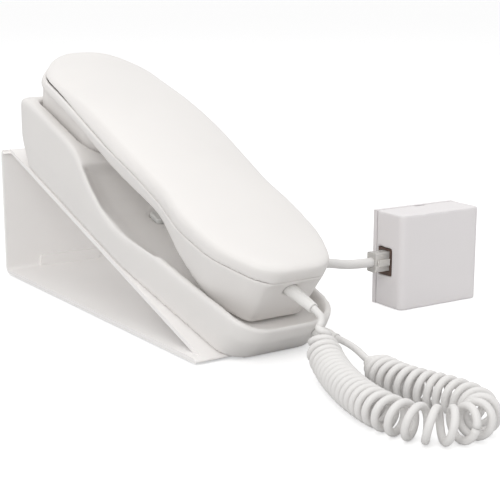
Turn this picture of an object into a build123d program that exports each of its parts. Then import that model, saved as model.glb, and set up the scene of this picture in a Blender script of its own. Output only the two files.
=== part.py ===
from build123d import *
from math import atan, ceil, cos, degrees, pi, radians, sin, tan
import os

# Intercom handset lying in its cradle on a sheet metal desk stand, with a curly cord, a line cord and a
# jack box. Millimetres. The origin is the middle of the stand's underside, X runs to the right, the
# handset's mouth end points to -Y and Z is up.

# Desk stand
stand_width = 74
stand_depth = 200
stand_rise = 69.3
stand_sheet = 2
stand_bend = 3.5
stand_toe_radius = 0.6
deck_sheet_width = 66
pad_thickness = 1
pad_inset = 3
pad_corner = 6
tab_width = 36
tab_height = 5.5
tab_corner = 2

# Cradle, measured along the deck from its middle and up from the deck
cradle_forward = 7.2
cradle_ear_reach = 115
cradle_mouth_reach = 110.5
cradle_half_width = 34.4
cradle_height = 35
cradle_knee = 13
knee_ear_inset = 6
knee_mouth_inset = 2.5
knee_side_inset = 0.8
foot_ear_inset = 16
foot_mouth_inset = 10.5
foot_side_inset = 1.9
cradle_wall = 3
tray_floor = 13
tray_floor_thickness = 2.5
rim_width = 4
tray_slope = 2
tray_ear_end = -40
dip_half_width = 16.5
dip_rim = 1.4
dip_ear_end = 30
dip_mouth_end = -42
cradle_plate = 2
plate_clearance = 0.3
cradle_boss_radius = 3.4
cradle_boss_side = 20
boss_ear_inset = 33
boss_mouth_inset = 32.5
cradle_boss_near_side = 15

# Handset, measured along the deck from the cradle's middle and up from the deck
handset_half_length = 108
handset_half_width = 32
handset_crest = 58
handset_crown_radius = 142
handset_girth = 47
handset_top_lean = 2.2
handset_base = 14.3
handset_draft = 8.5
handset_wall = 2.2
pod_half_width = 27
pod_ear_inset = 5
pod_grip = 34
pod_corner = 14
pod_top = 48
pod_draft = 2.6
pod_clearance = 0.6
nest_lead = 1
handset_boss_radius = 4
handset_boss_ear_inset = 12
handset_boss_mouth_inset = 40
handset_screw_seat = 36

# Fastenings
plate_screw_radius = 1.25
plate_screw_head = 2.3
plate_screw_head_height = 1.2
plate_screw_length = 8
stand_screw_radius = 1.5
stand_screw_head = 3
stand_screw_head_height = 1.8
stand_screw_ear_inset = 51
stand_screw_mouth_inset = 46.5
stand_boss_radius = 4
stand_boss_height = 4
stand_screw_length = 7
handset_screw_length = 9
screw_ease = 0.05
slot_width = 0.7

# Hook, board and other inner parts of the cradle
board_thickness = 1.6
board_lift = 2
board_half_width = 22
board_ear = 56
board_mouth = 36
board_post_inset = 3.5
board_post_radius = 2.4
board_screw_radius = 0.9
board_screw_head = 1.7
board_screw_head_height = 0.8
hook_place = 44
hook_radius = 3
hook_flange_radius = 5
hook_flange = 1.4
hook_travel = 4
hook_gap = 0.3
hook_play = 0.05
hook_board_hole = 7.6
spring_radius = 3
spring_wire = 0.5
spring_turns = 4
spring_gap = 0.05
switch_length = 9
switch_width = 6
switch_height = 4
button_length = 14
button_width = 9
button_proud = 1.5
button_travel = 1.5
button_flange = 1.5
button_flange_thickness = 1
button_play = 0.2
button_stop = 0.1
dome_radius = 3
dome_height = 0.6
buzzer_radius = 7
buzzer_height = 4
buzzer_side = 12
buzzer_place = 22
block_length = 15
block_width = 7
block_height = 4
block_side = 10
block_place = 26
block_pitch = 3.6
block_hole = 0.9

# Inner parts of the handset
receiver_radius = 18
receiver_height = 8
receiver_place = 70
seal_thickness = 1
seal_width = 4
earpiece_hole = 1
earpiece_ring = 6
earpiece_holes = 8
microphone_radius = 4.8
microphone_height = 5
microphone_place = 86
microphone_holder_wall = 1.6
microphone_holder_floor = 1
microphone_hole = 0.8
microphone_hole_pitch = 3
handset_board_width = 36
handset_board_ear = 24
handset_board_mouth = 22
handset_board_level = 48.2
handset_board_thickness = 1.2
handset_post_radius = 2
handset_post_inset = 4

# Curly cord
wire = 3
curl_radius = 5.8
curl_ramp = 20
curly_lead = 7.6
tail_lead = 9
handset_boot_inset = 8.4
handset_boot_height = 32.5
handset_boot_heading = (0.103, -0.928, -0.356)
handset_boot_length = 16
handset_boot_depth = 4
boot_root_radius = 2.9
boot_tip_radius = 2.3
cradle_boot_side = 15
cradle_boot_inset = 2.1
cradle_boot_heading = (0.06, -0.99, -0.03)
cradle_boot_length = 11
cradle_boot_depth = 3

# Line cord
cord = 4.6
coil_centre = (97, 80)
coil_outer = 36
coil_ring_pitch = 5.2
coil_layer_pitch = 5.1
coil_rest = 3.1
coil_lead = 14
plug_lead = 13
gland_lead = 12
coil_turns_in = 3.5
coil_turns_out = 3.75
coil_climb_turns = 0.5
tie_width = 5
tie_thickness = 0.6
tie_clearance = 0.3
gland_place = -5
gland_height = 7
gland_radius = 3.4
gland_hole = 3.6
gland_length = 12
gland_collar = 4.6
gland_collar_thickness = 1.2

# Jack box and plug, in the box's own frame: its front left lower corner, along its front and back
box_corner = (90, -80, 0)
box_turn = -2
box_width = 49.5
box_depth = 22
box_height = 47
box_wall = 2
box_base = 2.5
box_edge = 3
box_notch_width = 6
box_notch_depth = 1.5
box_notch_place = 26
box_boss_radius = 3
box_boss_inset = 7
box_screw_radius = 1.2
box_screw_head = 2.4
box_screw_head_height = 1.2
box_screw_length = 9
jack_depth = 16
jack_width = 10.6
jack_height = 14
jack_across = 13
jack_low = 15.5
jack_gap = 0.3
plug_width = 9.65
plug_thickness = 6.6
plug_length = 21
plug_showing = 8
plug_level = 23
plug_edge = 0.8
latch_thickness = 1
latch_width = 3.2
latch_length = 7
contact_count = 4
contact_pitch = 1.27
contact_width = 0.4
contact_length = 6
contact_depth = 2.4
terminal_radius = 2.6
terminal_height = 5
terminal_pitch = 9

overrun = 1

# Corners of one side of an outline, from the ear end to the mouth end: share of the reach along the deck,
# and of the half width the share across and the share of the corner's radius
cradle_outline_shares = [(1, 1, 0.5), (-0.16, 1, 6), (-1, 0.74, 0.4)]
handset_outline_shares = [
    (1, 0.5, 0.75), (0.8, 1, 0.8), (0.1, 1, 6), (-0.33, 0.915, 1.5), (-0.5, 0.975, 1.5), (-0.74, 0.945, 1.5),
    (-1, 0.53, 0.6),
]
# Side views: share of the reach along the deck, of the ear's or the mouth's, and of the height above it
rim_shares = [
    (1.03, 0.64), (0.98, 0.78), (0.91, 0.91), (0.82, 0.985), (0.68, 1.01), (0.5, 1.005), (0.38, 0.99),
    (0.315, 0.94), (0.26, 0.85), (0.18, 0.71), (0.06, 0.55), (-0.05, 0.485), (-0.17, 0.5), (-0.3, 0.55),
    (-0.42, 0.572), (-0.562, 0.572), (-0.73, 0.592), (-0.86, 0.61),
    (-0.95, 0.575), (-1.02, 0.46),
]
# Finger dip, from its ear end to its mouth end: share of its length, and its floor's lift over the tray's
dip_shares = [(1, 0.5), (0.84, 0.2), (0.68, 0), (0.34, 0), (0, 0)]
# The dip's flank: share of the way out from the floor to the rim, and of the way up
flank_shares = [(0.42, 0.13), (0.78, 0.5)]
crest_shares = [
    (1.06, 0.95), (0.79, 0.98), (0.5, 1), (0.2, 0.998), (-0.06, 0.953), (-0.34, 0.896), (-0.62, 0.848),
    (-0.85, 0.823), (-1.06, 0.79),
]
under_shares = [
    (1.06, 0.79), (0.56, 0.77), (0.35, 0.74), (0.2, 0.7), (0.05, 0.658), (-0.1, 0.63), (-0.25, 0.61),
    (-0.35, 0.565), (-0.43, 0.49), (-0.52, 0.4), (-0.62, 0.317), (-0.72, 0.26), (-0.81, 0.247),
]
chin_shares = [(-0.88, 0.247), (-0.905, 0.36), (-0.94, 0.59), (-1.01, 0.82), (-1.06, 1.1), (1.06, 1.1)]
parting_shares = [
    (1.06, 0.84), (0.31, 0.836), (0.16, 0.815), (-0.05, 0.785), (-0.15, 0.763), (-0.27, 0.725),
    (-0.42, 0.68), (-0.64, 0.662), (-1.06, 0.655),
]

# Curl pitch in wire diameters against the share of the curly cord's route
curl_pitch_shares = [
    (0, 3), (0.05, 2.7), (0.1, 1.7), (0.15, 1.28), (0.36, 1.27), (0.42, 1.8), (0.47, 2.08),
    (0.65, 2.08), (0.71, 1.7), (0.76, 1.36), (0.84, 1.43), (0.92, 1.5), (0.96, 1.9), (1, 2.1),
]
# Hand chosen routes, between the straight leads at both ends of each cord
curly_route = [
    (0.2, -133, 14.8), (-3, -140.5, 9.8), (-7.8, -152, 7.7), (-13.4, -165, 7.6), (-18.2, -179, 7.6),
    (-21.2, -193, 7.6), (-21.4, -205.5, 7.6), (-17.6, -216.5, 7.6), (-9.6, -223, 7.6), (0.6, -223, 7.6),
    (8.8, -217, 7.6), (11.4, -207, 7.6), (10.4, -197, 7.6), (7.4, -187, 7.6), (5.4, -176.5, 7.6),
    (6.4, -166, 7.6), (9.8, -154, 7.8),
]
inner_route = [
    (58, -61.4, 25.2), (47, -52, 22), (43.4, -35, 13.5), (44.2, -17, 6.6), (47, 3, 3.7),
    (52, 23, 3.2), (58, 43, 3.12),
]
outer_route = [(62.5, -8, 32.5), (67, 6, 23.8), (67.4, 21.5, 14.2), (69, 34.5, 8.95)]

pod_ear = handset_half_length - pod_ear_inset
handset_boss_ear = handset_half_length - handset_boss_ear_inset
handset_boss_mouth = handset_half_length - handset_boss_mouth_inset
stand_screw_places = [
    (0, cradle_ear_reach - stand_screw_ear_inset), (0, stand_screw_mouth_inset - cradle_mouth_reach),
]
slope = degrees(atan(stand_rise / stand_depth))
stand_top = pad_thickness + stand_rise
deck = Plane(
    origin=(0, 0, pad_thickness + stand_rise / 2),
    x_dir=(1, 0, 0),
    z_dir=(0, -sin(radians(slope)), cos(radians(slope))),
)
nest = Plane(origin=deck.origin - deck.y_dir * cradle_forward, x_dir=deck.x_dir, z_dir=deck.z_dir)
side = Plane(origin=nest.origin, x_dir=nest.y_dir, z_dir=nest.x_dir)
box = Plane(box_corner, x_dir=(cos(radians(box_turn)), sin(radians(box_turn)), 0), z_dir=(0, 0, 1))
tray_underside = tray_floor - tray_floor_thickness
board_top = cradle_plate + board_lift + board_thickness


def on_deck(across, along, height):
    """A point in the cradle's frame, in the part's own frame."""
    return nest.origin + nest.x_dir * across + nest.y_dir * along + nest.z_dir * height


def in_box(across, back, height):
    """A point in the jack box's frame, in the part's own frame."""
    return box.origin + box.x_dir * across + box.y_dir * back + box.z_dir * height


handset_boot_root = on_deck(0, handset_boot_inset - handset_half_length, handset_boot_height)
cradle_boot_root = on_deck(cradle_boot_side, cradle_boot_inset - cradle_mouth_reach, cradle_knee)


def scaled(shares, reach, height):
    """Points of a side view from their shares."""
    return [(along * reach, up * height) for along, up in shares]


def between(table, place):
    """A value read off a table of rising places and their values."""
    for (low, start), (high, end) in zip(table, table[1:]):
        if place <= high:
            return start + (end - start) * (place - low) / (high - low)
    return table[-1][1]


def closed_outline(shares, half_width, ear, mouth):
    """A face with both sides of an outline, from the ear end round the mouth end and back."""
    middle = (ear + mouth) / 2
    reach = (ear - mouth) / 2
    right = [(across * half_width, middle + along * reach) for along, across, corner in shares]
    left = [(-across, along) for across, along in reversed(right)]
    radii = [corner * half_width for along, across, corner in shares]
    with BuildSketch() as outline:
        with BuildLine():
            FilletPolyline(*right, *left, radius=radii + radii[::-1], close=True)
        make_face()
    return outline.sketch


def save(part, name):
    """Labels one finished piece and writes it."""
    part.label = name
    export_step(part, f"parts/{name}.step")


def slotted_screw(plane, places, radius, length, head_radius, head_height):
    """Round head screws whose shanks run along the plane's normal, heads below the plane."""
    with BuildPart() as screws:
        with BuildSketch(plane):
            with Locations(*places):
                Circle(radius)
        extrude(amount=length)
        with BuildSketch(plane):
            with Locations(*places):
                Circle(head_radius)
        extrude(amount=-head_height)
        with BuildSketch(plane.offset(-head_height)):
            with Locations(*places):
                Rectangle(head_radius * 2, slot_width)
        extrude(amount=head_height / 2, mode=Mode.SUBTRACT)
    return screws.part


os.makedirs("parts", exist_ok=True)


# Desk stand: one folded sheet, open at both sides
inner_rise = tan(radians(slope))
sheet_drop = stand_sheet / cos(radians(slope))
half_depth = stand_depth / 2
floor_top = pad_thickness + stand_sheet
inner_back = half_depth - stand_sheet
inner_top = pad_thickness + (inner_back + half_depth) * inner_rise - sheet_drop
inner_toe = (floor_top - pad_thickness + sheet_drop) / inner_rise - half_depth
with BuildPart() as stand_bracket:
    with BuildSketch(Plane.YZ) as wedge:
        with BuildLine():
            Polyline(
                (-half_depth, pad_thickness), (half_depth, pad_thickness), (half_depth, stand_top),
                close=True,
            )
        make_face()
        fillet(wedge.vertices().sort_by(Axis.X)[-2:], stand_bend)
        fillet(wedge.vertices().sort_by(Axis.X)[0], stand_toe_radius)
    extrude(amount=stand_width / 2, both=True)
    with BuildSketch(Plane.YZ) as hollow:
        with BuildLine():
            Polyline((inner_toe, floor_top), (inner_back, floor_top), (inner_back, inner_top), close=True)
        make_face()
        fillet(hollow.vertices().sort_by(Axis.X)[-2:], stand_bend - stand_sheet)
    extrude(amount=stand_width, both=True, mode=Mode.SUBTRACT)
    for hand in (-1, 1):
        with BuildSketch(Plane.YZ.offset(hand * deck_sheet_width / 2)):
            with BuildLine():
                Polyline(
                    (inner_toe, floor_top), (inner_back, inner_top), (inner_back, stand_top + overrun),
                    (-half_depth - overrun, stand_top + overrun), (-half_depth - overrun, floor_top),
                    close=True,
                )
            make_face()
        extrude(amount=hand * stand_width, mode=Mode.SUBTRACT)
    with BuildSketch(Plane.XY.offset(floor_top)):
        with Locations((0, inner_back - stand_sheet / 2)):
            Rectangle(tab_width, stand_sheet)
    tab = extrude(amount=tab_height)
    fillet(tab.edges().filter_by(Axis.Y).group_by(Axis.Z)[-1], tab_corner)
    with BuildSketch(nest):
        with Locations(*stand_screw_places):
            Circle(stand_screw_radius + screw_ease)
    extrude(amount=-stand_sheet - overrun, mode=Mode.SUBTRACT)
save(stand_bracket.part, "stand_bracket")

with BuildPart() as stand_foot_pad:
    with BuildSketch():
        RectangleRounded(stand_width - 2 * pad_inset, stand_depth - 4 * pad_inset, pad_corner)
    extrude(amount=pad_thickness)
save(stand_foot_pad.part, "stand_foot_pad")

save(
    slotted_screw(
        nest.offset(-stand_sheet), stand_screw_places, stand_screw_radius,
        stand_screw_length, stand_screw_head, stand_screw_head_height,
    ),
    "stand_screws",
)

# Cradle: the outer form narrows from the rim over the knee to the foot
foot = (
    cradle_half_width - foot_side_inset, cradle_ear_reach - foot_ear_inset,
    foot_mouth_inset - cradle_mouth_reach,
)
knee = (
    cradle_half_width - knee_side_inset, cradle_ear_reach - knee_ear_inset,
    knee_mouth_inset - cradle_mouth_reach,
)
rim = (cradle_half_width, cradle_ear_reach, -cradle_mouth_reach)
cradle_boss_places = [
    (cradle_boss_side, cradle_ear_reach - boss_ear_inset),
    (-cradle_boss_side, cradle_ear_reach - boss_ear_inset),
    (cradle_boss_near_side, boss_mouth_inset - cradle_mouth_reach),
    (-cradle_boss_near_side, boss_mouth_inset - cradle_mouth_reach),
]
tray_mouth = cradle_wall - cradle_mouth_reach


rim_points = [
    (along * (cradle_ear_reach if along > 0 else cradle_mouth_reach), up * cradle_height)
    for along, up in rim_shares
]


def dip_section(share, lift):
    """Half of one section across the finger dip, from its floor up its flank and past the rim."""
    along = dip_mouth_end + (dip_ear_end - dip_mouth_end) * share
    rim_level = between(rim_points[::-1], along)
    floor = tray_floor + (rim_level - tray_floor) * lift
    middle = (cradle_ear_reach - cradle_mouth_reach) / 2
    reach = (cradle_ear_reach + cradle_mouth_reach) / 2
    sides = [(place, across) for place, across, corner in cradle_outline_shares[::-1]]
    rim_side = cradle_half_width * between(sides, (along - middle) / reach) - dip_rim
    flank = [
        (dip_half_width + (rim_side - dip_half_width) * out, floor + (rim_level - floor) * up)
        for out, up in flank_shares
    ]
    return along, [(dip_half_width, floor), *flank, (rim_side, rim_level), (rim_side, 2 * cradle_height)]


def pod_section(height, grow):
    """Rounded section of the ear pod at one height, grown all round for its nest."""
    lean = pod_draft * (pod_top - height) / (pod_top - handset_base)
    with Locations((0, (pod_ear + pod_grip) / 2)):
        RectangleRounded(
            2 * (pod_half_width - lean + grow), pod_ear - pod_grip - 2 * lean + 2 * grow,
            pod_corner - lean + grow,
        )


with BuildPart() as cradle_shell:
    with BuildSketch(nest):
        add(closed_outline(cradle_outline_shares, *foot))
    with BuildSketch(nest.offset(cradle_knee)):
        add(closed_outline(cradle_outline_shares, *knee))
    loft(ruled=True)
    with BuildSketch(nest.offset(cradle_knee)):
        add(closed_outline(cradle_outline_shares, *knee))
    with BuildSketch(nest.offset(cradle_height + overrun)):
        add(closed_outline(cradle_outline_shares, *rim))
    loft(ruled=True)
    with BuildSketch(side):
        with BuildLine():
            Spline(*rim_points)
            Polyline(
                rim_points[-1], (rim_points[-1][0], 2 * cradle_height),
                (rim_points[0][0], 2 * cradle_height),
                rim_points[0],
            )
        make_face()
    extrude(amount=2 * cradle_half_width, both=True, mode=Mode.SUBTRACT)
    with BuildSketch(nest):
        add(closed_outline(
            cradle_outline_shares, foot[0] - cradle_wall, foot[1] - cradle_wall, foot[2] + cradle_wall,
        ))
    extrude(amount=tray_underside, mode=Mode.SUBTRACT)
    with BuildSketch(nest.offset(tray_floor)):
        pod_section(tray_floor, pod_clearance)
    with BuildSketch(nest.offset(cradle_height + overrun)):
        pod_section(cradle_height, pod_clearance + nest_lead)
    loft(mode=Mode.SUBTRACT)
    with BuildSketch(nest.offset(tray_floor)):
        add(closed_outline(
            cradle_outline_shares, cradle_half_width - rim_width - tray_slope,
            cradle_ear_reach - rim_width - tray_slope, tray_mouth + tray_slope,
        ))
        with Locations((0, tray_ear_end + cradle_ear_reach)):
            Rectangle(4 * cradle_half_width, 2 * cradle_ear_reach, mode=Mode.SUBTRACT)
    with BuildSketch(nest.offset(cradle_height)):
        add(closed_outline(
            cradle_outline_shares, cradle_half_width - rim_width + tray_slope,
            cradle_ear_reach - rim_width + tray_slope, tray_mouth - tray_slope / 2,
        ))
        with Locations((0, tray_ear_end + 2 * tray_slope + cradle_ear_reach)):
            Rectangle(4 * cradle_half_width, 2 * cradle_ear_reach, mode=Mode.SUBTRACT)
    loft(mode=Mode.SUBTRACT)
    for share, lift in dip_shares:
        along, half = dip_section(share, lift)
        station = Plane(on_deck(0, along, 0), x_dir=nest.x_dir, z_dir=-nest.y_dir)
        with BuildSketch(station):
            with BuildLine():
                Polyline(*half, *[(-across, up) for across, up in half[::-1]], close=True)
            make_face()
    loft(ruled=True, mode=Mode.SUBTRACT)
    with BuildSketch(nest.offset(cradle_plate)):
        with Locations(*cradle_boss_places):
            Circle(cradle_boss_radius)
    extrude(amount=tray_floor - cradle_plate - tray_floor_thickness / 2)
    with BuildSketch(nest.offset(cradle_plate)):
        with Locations(*cradle_boss_places):
            Circle(plate_screw_radius + screw_ease)
    extrude(amount=plate_screw_length, mode=Mode.SUBTRACT)
    with BuildSketch(nest.offset(tray_underside - overrun)):
        with Locations((0, hook_place)):
            Circle(hook_radius + hook_play)
        RectangleRounded(
            button_length + 2 * button_play, button_width + 2 * button_play, button_flange + button_play
        )
    extrude(amount=tray_floor_thickness + 2 * overrun, mode=Mode.SUBTRACT)
    with BuildSketch(Plane(on_deck(foot[0] - 2 * cradle_wall, gland_place, gland_height), z_dir=nest.x_dir)):
        Circle(gland_hole)
    extrude(amount=4 * cradle_wall, mode=Mode.SUBTRACT)
    with BuildSketch(Plane(cradle_boot_root, z_dir=cradle_boot_heading)):
        Circle(boot_root_radius)
    extrude(amount=cradle_boot_depth, both=True, mode=Mode.SUBTRACT)
save(cradle_shell.part, "cradle_shell")

board_middle = (board_ear - board_mouth) / 2
board_length = board_ear + board_mouth
post_places = [
    (
        hand * (board_half_width - board_post_inset),
        board_middle + end * (board_length / 2 - board_post_inset),
    )
    for hand in (-1, 1)
    for end in (-1, 1)
]
plate_half_width = foot[0] - cradle_wall - plate_clearance
with BuildPart() as cradle_back_plate:
    with BuildSketch(nest):
        add(closed_outline(
            cradle_outline_shares, plate_half_width, foot[1] - cradle_wall - plate_clearance,
            foot[2] + cradle_wall + plate_clearance,
        ))
    extrude(amount=cradle_plate)
    with BuildSketch(nest.offset(cradle_plate)):
        with Locations(*stand_screw_places):
            Circle(stand_boss_radius)
    extrude(amount=stand_boss_height)
    with BuildSketch(nest.offset(cradle_plate)):
        with Locations(*post_places):
            Circle(board_post_radius)
    extrude(amount=board_lift)
    with BuildSketch(nest):
        with Locations(*stand_screw_places):
            Circle(stand_screw_radius + screw_ease)
        with Locations(*cradle_boss_places):
            Circle(plate_screw_radius + screw_ease)
    extrude(amount=cradle_plate + stand_boss_height, mode=Mode.SUBTRACT)
    with BuildSketch(nest):
        with Locations(*cradle_boss_places):
            Circle(plate_screw_head + screw_ease)
    extrude(amount=plate_screw_head_height, mode=Mode.SUBTRACT)
    with BuildSketch(nest.offset(cradle_plate)):
        with Locations(*post_places):
            Circle(board_screw_radius + screw_ease)
    extrude(amount=board_lift, mode=Mode.SUBTRACT)
save(cradle_back_plate.part, "cradle_back_plate")

save(
    slotted_screw(
        nest.offset(plate_screw_head_height), cradle_boss_places, plate_screw_radius,
        plate_screw_length - plate_screw_head_height, plate_screw_head, plate_screw_head_height,
    ),
    "cradle_screws",
)

with BuildPart() as cradle_circuit_board:
    with BuildSketch(nest.offset(cradle_plate + board_lift)):
        with Locations((0, board_middle)):
            Rectangle(2 * board_half_width, board_length)
        with Locations((0, hook_place)):
            Circle(hook_board_hole, mode=Mode.SUBTRACT)
        with Locations(*post_places):
            Circle(board_screw_radius + screw_ease, mode=Mode.SUBTRACT)
    extrude(amount=board_thickness)
save(cradle_circuit_board.part, "cradle_circuit_board")

save(
    slotted_screw(
        Plane(nest.offset(board_top).origin, x_dir=nest.x_dir, z_dir=-nest.z_dir),
        [(across, -along) for across, along in post_places], board_screw_radius,
        board_thickness + board_lift, board_screw_head, board_screw_head_height,
    ),
    "board_screws",
)

# Hook: a sprung plunger that the ear pod holds down
hook_flange_top = tray_underside - hook_travel - hook_play
hook_flange_low = hook_flange_top - hook_flange
with BuildPart() as hook_plunger:
    with BuildSketch(nest.offset(hook_flange_low)):
        with Locations((0, hook_place)):
            Circle(hook_radius)
    extrude(amount=handset_base - hook_gap - hook_flange_low)
    fillet(hook_plunger.faces().sort_by(Axis.Z)[-1].edges(), hook_radius / 4)
    with BuildSketch(nest.offset(hook_flange_low)):
        with Locations((0, hook_place)):
            Circle(hook_flange_radius)
    extrude(amount=hook_flange)
save(hook_plunger.part, "hook_plunger")

spring_room = hook_flange_low - cradle_plate - 2 * spring_gap
spring_foot = on_deck(0, hook_place, cradle_plate + spring_gap + spring_wire / 2)
with BuildPart() as hook_spring:
    with BuildLine() as spring_path:
        Helix(
            pitch=(spring_room - spring_wire) / spring_turns, height=spring_room - spring_wire,
            radius=spring_radius, center=spring_foot, direction=nest.z_dir,
        )
    with BuildSketch(Plane(spring_path.line @ 0, z_dir=spring_path.line % 0)):
        Circle(spring_wire / 2)
    sweep(is_frenet=True)
save(hook_spring.part, "hook_spring")

with BuildPart() as hook_switch:
    with BuildSketch(nest.offset(board_top)):
        with Locations((hook_board_hole + switch_length / 2, hook_place)):
            Rectangle(switch_length, switch_width)
    extrude(amount=switch_height)
    with BuildSketch(nest.offset(board_top)):
        with Locations(((hook_flange_radius + hook_board_hole) / 2 + hook_play, hook_place)):
            Rectangle(hook_board_hole - hook_flange_radius, switch_width / 3)
    extrude(amount=dome_height)
save(hook_switch.part, "hook_switch")

# Door release: a sprung key over a dome contact
button_foot = board_top + dome_height + button_travel + button_stop
with BuildPart() as door_release_button:
    with BuildSketch(nest.offset(button_foot)):
        RectangleRounded(button_length, button_width, button_flange)
    extrude(amount=tray_floor + button_proud - button_foot)
    fillet(door_release_button.faces().sort_by(Axis.Z)[-1].edges(), button_flange / 3)
    with BuildSketch(nest.offset(tray_underside - button_play)):
        RectangleRounded(button_length + 2 * button_flange, button_width + 2 * button_flange, button_flange)
    extrude(amount=-button_flange_thickness)
save(door_release_button.part, "door_release_button")

with BuildPart() as button_switch:
    with BuildSketch(nest.offset(board_top)):
        Circle(dome_radius)
    extrude(amount=dome_height)
    fillet(button_switch.faces().sort_by(Axis.Z)[-1].edges(), dome_height / 2)
save(button_switch.part, "button_switch")

with BuildPart() as call_buzzer:
    with BuildSketch(nest.offset(board_top)):
        with Locations((buzzer_side, -buzzer_place)):
            Circle(buzzer_radius)
    extrude(amount=buzzer_height)
    with BuildSketch(nest.offset(board_top + buzzer_height / 2)):
        with Locations((buzzer_side, -buzzer_place)):
            Circle(buzzer_radius / 6)
    extrude(amount=buzzer_height, mode=Mode.SUBTRACT)
save(call_buzzer.part, "call_buzzer")

with BuildPart() as terminal_block:
    with BuildSketch(nest.offset(board_top)):
        with Locations((-block_side, -block_place)):
            Rectangle(block_length, block_width)
    extrude(amount=block_height)
    with BuildSketch(nest.offset(board_top + block_height / 3)):
        with Locations((-block_side, -block_place)):
            with GridLocations(block_pitch, block_width, contact_count, 1):
                Circle(block_hole)
    extrude(amount=block_height, mode=Mode.SUBTRACT)
save(terminal_block.part, "terminal_block")


# Handset: two shells
def handset_form(inset):
    """The closed handset's outer form, or with an inset the hollow inside it."""
    ends = (handset_half_length - inset, inset - handset_half_length)
    top_ends = (ends[0] - handset_top_lean, ends[1] + handset_top_lean)
    base_ends = (ends[0] - handset_draft, ends[1] + handset_draft)
    half_width = handset_half_width - inset
    crest_points = scaled(crest_shares, handset_half_length, handset_crest)
    crest_half = handset_half_width + handset_top_lean
    sag = handset_crown_radius - (handset_crown_radius**2 - crest_half**2) ** 0.5
    with BuildPart() as slab:
        for along, height in crest_points:
            station = Plane(on_deck(0, along, 0), x_dir=nest.x_dir, z_dir=-nest.y_dir)
            with BuildSketch(station):
                with BuildLine():
                    ThreePointArc(
                        (-crest_half, height - sag - inset), (0, height - inset),
                        (crest_half, height - sag - inset),
                    )
                    Polyline((crest_half, height - sag - inset), (crest_half, 0), (-crest_half, 0),
                             (-crest_half, height - sag - inset))
                make_face()
        loft()
    with BuildPart() as form:
        with BuildSketch(nest.offset(handset_girth)):
            add(closed_outline(handset_outline_shares, half_width, *ends))
        with BuildSketch(nest.offset(handset_crest + overrun)):
            add(closed_outline(handset_outline_shares, half_width - handset_top_lean, *top_ends))
        loft()
        with BuildSketch(nest.offset(handset_girth)):
            add(closed_outline(handset_outline_shares, half_width, *ends))
        with BuildSketch(nest.offset(handset_base)):
            add(closed_outline(handset_outline_shares, half_width - handset_draft, *base_ends))
        loft()
        add(slab.part, mode=Mode.INTERSECT)
        under_points = [
            (along, up + inset) for along, up in scaled(under_shares, handset_half_length, handset_crest)
        ]
        chin_points = [
            (along + inset, up + inset)
            for along, up in scaled(chin_shares, handset_half_length, handset_crest)
        ]
        with BuildSketch(side):
            with BuildLine():
                Spline(*under_points)
                Polyline(under_points[-1], *chin_points, under_points[0])
            make_face()
        extrude(amount=2 * handset_half_width, both=True, mode=Mode.INTERSECT)
        with BuildSketch(nest.offset(pod_top)):
            pod_section(pod_top, -inset)
        with BuildSketch(nest.offset(handset_base + inset)):
            pod_section(handset_base + inset, -inset)
        loft()
    return form.part


def parting_half(lower):
    """All that lies below, or above, the surface where the two shells meet."""
    parting = scaled(parting_shares, handset_half_length, handset_crest)
    far = 0 if lower else 2 * handset_crest
    with BuildPart() as half:
        with BuildSketch(side):
            with BuildLine():
                Spline(*parting)
                Polyline(parting[-1], (parting[-1][0], far), (parting[0][0], far), parting[0])
            make_face()
        extrude(amount=2 * handset_half_width, both=True)
    return half.part


handset_outer = handset_form(0)
handset_hollow = handset_form(handset_wall)
pod_floor = handset_base + handset_wall
handset_bosses = [(0, handset_boss_ear), (0, -handset_boss_mouth)]
board_posts = [
    (hand * (handset_board_width / 2 - handset_post_inset), along)
    for hand in (-1, 1)
    for along in (handset_board_ear - handset_post_inset, handset_post_inset - handset_board_mouth)
]
with BuildPart() as top_bosses:
    with BuildSketch(nest.offset(handset_screw_seat)):
        with Locations(*handset_bosses):
            Circle(handset_boss_radius)
    extrude(amount=handset_crest)
    add(handset_outer, mode=Mode.INTERSECT)
with BuildPart() as handset_top_shell:
    add(handset_outer)
    add(handset_hollow, mode=Mode.SUBTRACT)
    add(parting_half(True), mode=Mode.SUBTRACT)
    add(top_bosses.part)
    with BuildSketch(nest.offset(handset_screw_seat)):
        with Locations(*handset_bosses):
            Circle(plate_screw_radius + screw_ease)
    extrude(amount=handset_screw_length, mode=Mode.SUBTRACT)
save(handset_top_shell.part, "handset_top_shell")

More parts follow.
